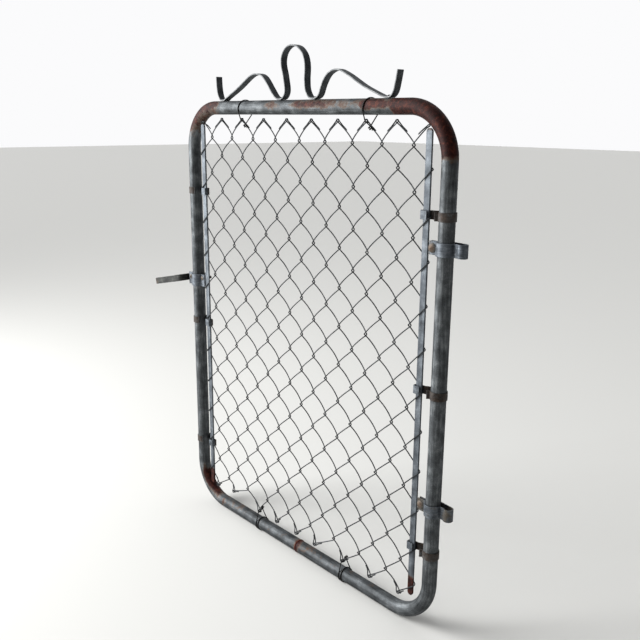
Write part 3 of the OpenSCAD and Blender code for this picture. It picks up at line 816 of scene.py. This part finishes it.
def collar(place):
    """Half of the latch collar: a strip from the outer ear round the stile to the inner ear."""
    node_name = f"latch_collar_{place}"
    low, high = corners(node_name) - ORIGIN
    sign = -1 if place == "front" else 1
    half = COLLAR_THICK / 2
    ring = WRAP_R + half
    outer_y, inner_y = OUTER_EAR + half, INNER_EAR + half
    outer, inner = math.pi - math.asin(outer_y / ring), math.asin(inner_y / ring)
    around = arc((0, 0), ring, math.degrees(outer) - 6, math.degrees(inner) + 6, 34)
    outer_ear = [(low[0] + STILE_X, outer_y), (math.cos(outer) * ring, outer_y), around[0]]
    inner_ear = [around[-1], (math.cos(inner) * ring, inner_y), (high[0] + STILE_X, inner_y)]
    start = rounded(outer_ear, [PRESS_BEND], 5)
    end = rounded(inner_ear, [PRESS_BEND], 5)
    outline = np.concatenate([start, around[1:-1], end]) * [1, sign]
    path = plan(outline + [-STILE_X, 0], (low[2] + high[2]) / 2)

    def overlay_marks(points):
        return {"overlay": 0.1 + 0.35 * rising(points[:, 0], -STILE_X - 18, -8)}

    piece = strip(
        f"collar_{place}", path, COLLAR_THICK, high[2] - low[2], (0, 0, 1), 0.8, LEAF,
        STRAP_ZINC, marks=overlay_marks,
    )
    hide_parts(node_name)


PIVOT = np.array(frame["joints"][0]["pos_m"]) * 1000 - ORIGIN
DROOP = math.radians(12.7)
FORK_THICK = 5.0
FORK_TALL = 19.0
FORK_REACH = 161.0
FORK_BASE = 18.0
FORK_GAP = 62.0
FORK_BEND = 16.0
LUG_R = 9.2


def hung(points):
    """Points of the level fork, measured from its pivot, turned down by its droop and set in place."""
    c, s = math.cos(DROOP), math.sin(DROOP)
    x, y, z = np.moveaxis(points, -1, 0)
    return PIVOT + np.stack([x * c - z * s, y, x * s + z * c], -1)


def latch_fork():
    """The fork: a flat bar on edge along a U, and its lug as a piece of its own."""
    half = FORK_GAP / 2 + FORK_THICK / 2
    base = -FORK_BASE - FORK_THICK / 2
    bend = FORK_BEND - FORK_THICK / 2
    line = [(-FORK_REACH, -half), (base, -half), (base, half), (-FORK_REACH, half)]
    path = hung(plan(rounded(line, [bend, bend], count=14)))
    tilt = hung(np.array([[0, 0, 1.0]])) - PIVOT

    def browned(points):
        out = np.linalg.norm((points - PIVOT)[:, [0, 2]], axis=1)
        return {"overlay": 0.5 * rising(out, FORK_REACH * 0.72, 40) + 0.25 * rising(out, 40, -20)}

    piece = strip(
        "fork_bar", path, FORK_THICK, FORK_TALL, tilt[0], 1.3, FORK, FORK_STEEL, spacing=8,
        marks=browned,
    )
    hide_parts("latch_fork")
    lug_piece()


def lug_piece():
    """The lug: an outline, round above the pivot and square below it, given thickness along Y.

    Towards both faces the outline draws in to its middle, which rounds the lug's edges.
    """
    half = FORK_TALL / 2
    root, heel = -FORK_BASE - 1.5, 7.6
    square = [(root, half), (root, -half), (heel, -half), (heel, -2)]
    outline = np.concatenate([square, arc((0, 0), LUG_R, -12, 90, 14), [(-2, half)]])
    inset = np.array([1.0, 0.4, 0.0, 0.0, 0.4, 1.0])
    depth = np.array([-4.0, -3.85, -3.3, 3.3, 3.85, 4.0])
    centre = outline.mean(axis=0)
    shrink = 1 - inset[:, None, None] / np.linalg.norm(outline - centre, axis=1)[None, :, None]
    flat = centre + (outline - centre)[None] * shrink
    deep = np.broadcast_to(depth[:, None], flat.shape[:2])
    points = hung(np.stack([flat[..., 0], deep, flat[..., 1]], -1))
    faces, uv = grid(points, depth - depth[0], length_along(outline, closed=True))
    marks = {"overlay": np.full(flat[..., 0].size, 0.3)}
    piece = put("fork_lug", points, faces, uv, FORK, FORK_STEEL, marks)
    piece.data.set_sharp_from_angle(angle=math.radians(35))


# ---- fabric ----

WIRES = 18
ROWS = 23
WIRE_D = 2.8
# Heights of the top and bottom knuckles, and the columns' spacing at the top edge and in the panel
FABRIC_TOP = 1156.0
FABRIC_BOTTOM = 55.5
ROW_STEP = (FABRIC_TOP - FABRIC_BOTTOM) / ROWS
TOP_PITCH = 45.1
PITCH = 46.2
# A bend: how far a wire's legs stand in front and behind, how far the bend reaches past its column,
# and half its height. Then how far each leg bows out of the fabric
LEG_Y = 1.95
HOOK = 3.5
RISE = 3.7
BULGE = 4.2
# On the tension bars: their outer edges, the legs' distance from their middle, and the bend's sizes
BAR_EDGE = BAR_X + BAR_SIZE[0] / 2
BAR_LEG_Y = 4.4
BAR_HOOK = 3.3
BAR_RISE = 3.2
# The outer wires' first bends, by the frame's upper corners
CORNER_X = 400.0
# How far the slack lets the middle of the panel shift to the right, back and down
SLACK = (6.0, 5.0, 4.0)
PANEL_MIDDLE, PANEL_HALF = 605.0, 552.0
# Bottom knuckles that are pulled out of line: column, (aside, up)
PULLED = {
    1: (-8, 7), 3: (-20, 15), 5: (12, 0), 9: (-8, 0), 11: (-24, 0), 13: (-10, 0), 15: (-4, 3),
    17: (0, 7),
}  # fmt: skip


def fabric_at(column, row):
    """Where columns and rows of the fabric cross.

    The columns spread from the knuckled edge into the panel over three rows. The slack between the
    ties lets the middle hang back, aside and down: each by a share of (1 - u u)(1 - v v), where u and
    v run from -1 to 1 across and up the panel.
    """
    x = (column - WIRES / 2) * (TOP_PITCH + (PITCH - TOP_PITCH) * rising(row, 0, 3))
    z = FABRIC_TOP - row * ROW_STEP
    u, v = x / BAR_EDGE, (z - PANEL_MIDDLE) / PANEL_HALF
    slack = np.clip(1 - u**2, 0, 1) * np.clip(1 - v**2, 0, 1)
    pulled = np.array([PULLED.get(int(c), (0, 0)) for c in np.ravel(column)])
    aside, up = (pulled * np.reshape(row == ROWS, (-1, 1))).T
    return x + SLACK[0] * slack + aside, FABRIC_Y + SLACK[1] * slack, z - SLACK[2] * slack + up


def woven_wire(index):
    """One wire of the fabric, zigzagging between two columns.

    Each bend is half an ellipse round the neighbour's bend, crossing from one face to the other as a
    sine. Each leg is straight seen from the front and bows out of the fabric as a parabola. The outer
    wires pass round the tension bars, with their first bends at the frame's upper corners.
    """
    rows = np.arange(ROWS + 1)
    column = index + (index + rows) % 2
    out = np.where(column == index, -1.0, 1.0)[:, None]
    x, y, z = (values[:, None] for values in fabric_at(column, rows))
    on_bar = ((column == 0) | (column == WIRES))[:, None]
    corner = on_bar & (rows == 0)[:, None]
    on_bar = on_bar & ~corner
    x = np.where(on_bar, out * (BAR_EDGE - 0.5), np.where(corner, out * CORNER_X, x))
    z = np.where(corner, z - 9, z)
    hook = np.where(on_bar, BAR_HOOK, HOOK)
    leg_y = np.where(on_bar | corner, BAR_LEG_Y, LEG_Y)
    rise = np.where(on_bar, BAR_RISE, RISE)
    t = np.linspace(-1, 1, 7)[None, :]
    swing = np.pi / 2 * t
    bends = np.stack([x + out * hook * np.cos(swing), y - out * leg_y * np.sin(swing), z - rise * t], -1)
    s = np.array([0.1, 0.3, 0.5, 0.7, 0.9])[None, :, None]
    a, b = bends[:-1, -1:], bends[1:, :1]
    legs = a + (b - a) * s
    bulge = 0.9 if index in (0, WIRES - 1) else BULGE
    legs[..., 1] -= (out[:-1, :] * bulge) * (4 * s[..., 0] * (1 - s[..., 0]))
    legs = np.concatenate([legs, legs[-1:]])
    whole = np.concatenate([bends, legs], axis=1).reshape(-1, 3)[: -legs.shape[1]]
    head = folded(bends[0, 0], bends[0, -1], bends[1, 0], out[0, 0], 1)
    tail = folded(bends[-1, -1], bends[-1, 0], bends[-2, -1], out[-1, 0], -1)
    path = spline(np.concatenate([head, whole, tail[::-1]]), 2)
    name = f"{index + 1:02d}"
    piece = wire(f"fabric_wire_{name}", path, WIRE_D, (0.0, 1.0, 0.0), WIRE_ZINC)
    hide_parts(f"mesh_wire_{name}")


def folded(start, leg_start, leg_end, out, up):
    """The cut end of a wire, folded over at the edge of the fabric and back beside its own leg.

    The end keeps to the leg's own line and bow, moved square to the leg by a gap that closes to
    little more than the wire itself, and leans over to the face that the fold comes from.
    """
    along = leg_end - leg_start
    s = np.array([0.47, 0.38, 0.29, 0.2])[:, None]
    gap = np.array([2.95, 3.05, 3.2, 3.6])[:, None]
    lean = np.array([0.0, 0.3, 0.7, 1.4])[:, None]
    square = unit(np.array([-out * abs(along[2]), 0.0, up * abs(along[0])]))
    face = np.array([0.0, up * out, 0.0])
    back = leg_start + along * s + square * gap + face * (lean - BULGE * 4 * s * (1 - s))
    turn = start + np.array([[-6.0 * out, -0.5 * up * out, -3.5 * up], [-2.6 * out, 0.0, -0.5 * up]])
    return np.concatenate([back, turn])


# ---- ties ----


TIE_D = 2.7
# The twist on a leg: its radius, its way along the leg for each radian, and the leg's own slope
COIL_R = 3.0
COIL_STEP = 0.75
PITCH_X, PITCH_Z = 46.0, 48.0


def tie(name, replaced, column, rail_z, row, lean, wraps):
    """A tie wire: hooked round a knuckle, round the rail, and twisted on to the next leg.

    It climbs from the knuckle in front of the rail, follows the tube's own circle round it while it
    leans sideways, leaves it behind and winds round the leg beside the knuckle as a helix.
    """
    up = 1 if rail_z > MID_HEIGHT else -1
    x, y, z = (float(v[0]) for v in fabric_at(np.array([column]), np.array([row])))
    turn = np.linspace(0, 1.1 * np.pi, 9)
    hook = np.stack([x + 1 + 3.6 * np.sin(turn), y - 4.4 * np.cos(turn), z - up * (1 + 0.8 * turn)], 1)
    r = TUBE_R + TIE_D / 2
    turn = np.radians(np.linspace(-34, 360 * wraps - 128, 30 * wraps))
    aside = lean * np.linspace(0, 1, len(turn))
    over = np.stack([x + aside, -r * np.cos(turn), rail_z + up * r * np.sin(turn)], 1)
    leg = np.array([x + 9.5, y, z - up * 11.5])
    down = unit(np.array([PITCH_X, 0.0, -up * PITCH_Z]))
    flat = np.array([down[2], 0.0, -down[0]])
    turn = np.linspace(0, 4.2 * np.pi, 26)
    swing = np.outer(np.cos(turn), [0, 1, 0]) + np.outer(np.sin(turn), flat)
    coil = leg + np.outer(turn * COIL_STEP, down) + COIL_R * swing
    path = spline(np.concatenate([hook[::-1], over, coil]), 3)
    piece = wire(name, path, TIE_D, (0.92, 0.1, 0.38), TIE_BLACK)
    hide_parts(replaced)


# ---- making ----


def make_pieces():
    """Makes every piece of the gate."""
    frame_tube()
    weld_bead()
    scroll_band()
    foot_rivets()
    for side in ("left", "right"):
        stretcher_bar(side)
        for place in ("top", "middle", "bottom"):
            bar_clip(side, place)
    for level in ("upper", "lower"):
        hinge_strap(level)
        replaced = f"{level}_hinge_bolt"
        bolt(f"carriage_bolt_{level}", replaced, 10.5, 5, 4.7, 1.6, BOLT_RUST, 0.6)
        nut(f"hex_nut_{level}", f"{level}_hinge_nut", 4.3, BOLT_RUST)
    for place in ("front", "rear"):
        collar(place)
    for part in ("clamp", "pivot"):
        bolt(f"bolt_{part}", f"latch_{part}_bolt", 6.4, 3.6, 3.95, 1.25, BOLT_BRIGHT, 0.85)
        nut(f"nut_{part}", f"latch_{part}_nut", 3.6, BOLT_BRIGHT)
    latch_fork()
    for index in range(WIRES):
        woven_wire(index)
    tie("rail_tie_top_left", "tie_top_left", 4, TOP_Z, 0, 24, 1)
    tie("rail_tie_top_right", "tie_top_right", 14, TOP_Z, 0, 20, 1)
    tie("rail_tie_bottom_left", "tie_bottom_left", 5, BOTTOM_Z, ROWS, 14, 2)
    tie("rail_tie_bottom_right", "tie_bottom_right", 13, BOTTOM_Z, ROWS, 14, 2)


# ---- studio ----


def studio():
    """A pale floor under the gate, a pale surround, and a soft sun and a panel from the left."""
    floor_z = corners("bottom_rail_left")[0][2] / 1000
    mesh = bpy.data.meshes.new("floor")
    reach = 30.0
    square = [(x * reach, y * reach, floor_z) for x, y in ((-1, -1), (1, -1), (1, 1), (-1, 1))]
    mesh.from_pydata(square, [], [(0, 1, 2, 3)])
    floor = bpy.data.objects.new("floor", mesh)
    bpy.context.scene.collection.objects.link(floor)
    paint = bpy.data.materials.new("matt_white_floor")
    paint.use_nodes = True
    shader = paint.node_tree.nodes["Principled BSDF"]
    shader.inputs["Base Color"].default_value = colour("#c9c9c6")
    shader.inputs["Roughness"].default_value = 0.9
    mesh.materials.append(paint)
    world = bpy.data.worlds.new("surround")
    bpy.context.scene.world = world
    world.use_nodes = True
    tree = world.node_tree
    background = tree.nodes["Background"]
    look = node(tree, "TexCoord").outputs["Generated"]
    brightest = (-0.9, 0.43, 0.08)
    turn = node(tree, "VectorMath", {0: look, 1: brightest}, operation="DOT_PRODUCT")
    shade = node(
        tree, "MapRange", {0: turn.outputs["Value"], 1: -0.45, 2: 0.6, 3: 0.16, 4: 1.0},
        interpolation_type="SMOOTHSTEP",
    )
    tree.links.new(shade.outputs[0], background.inputs["Strength"])
    background.inputs["Color"].default_value = colour("#fbfbfc")
    sun = bpy.data.lights.new("key_light", "SUN")
    sun.energy = 2.7
    sun.angle = math.radians(34)
    aim(bpy.data.objects.new("key_light", sun), (-2.4, -1.5, 1.9))
    panel = bpy.data.lights.new("side_light", "AREA")
    panel.size = 1.8
    panel.energy = 175
    aim(bpy.data.objects.new("side_light", panel), (-2.9, -2.3, 0.9))


def aim(light, place):
    """Sets a light at a place so that it faces the middle of the gate."""
    ahead = unit(ORIGIN / 1000 + [0, 0, 0.6] - np.array(place))
    side = unit(np.cross(ahead, [0, 0, 1]))
    light.matrix_world = facing(side, np.cross(side, ahead), ahead, place)
    bpy.context.scene.collection.objects.link(light)


def facing(right, up, ahead, place):
    """The matrix of a light or camera that looks ahead from a place."""
    turn = np.eye(4)
    turn[:3, 0], turn[:3, 1], turn[:3, 2], turn[:3, 3] = right, up, -np.array(ahead), place
    return Matrix(turn.tolist())


def camera():
    """The camera stands front right of the gate, above its middle, and looks down at it a little."""
    place = np.array([1436.4, -1239.1, 1158.8])
    left_turn, down, roll = np.radians([47.654, 14.639, 0.476])
    ahead = np.array([-np.sin(left_turn) * np.cos(down), np.cos(left_turn) * np.cos(down), -np.sin(down)])
    level = np.array([np.cos(left_turn), np.sin(left_turn), 0.0])
    upright = np.cross(level, ahead)
    right = np.cos(roll) * level + np.sin(roll) * upright
    up = -np.sin(roll) * level + np.cos(roll) * upright
    data = bpy.data.cameras.new("camera")
    data.sensor_width = 36.0
    data.lens = 43.2
    data.clip_end = 100
    made = bpy.data.objects.new("camera", data)
    made.matrix_world = facing(right, up, ahead, (place + ORIGIN) / 1000)
    bpy.context.scene.collection.objects.link(made)
    bpy.context.scene.camera = made


camera()
studio()
make_pieces()
bpy.context.scene.view_settings.view_transform = "Standard"
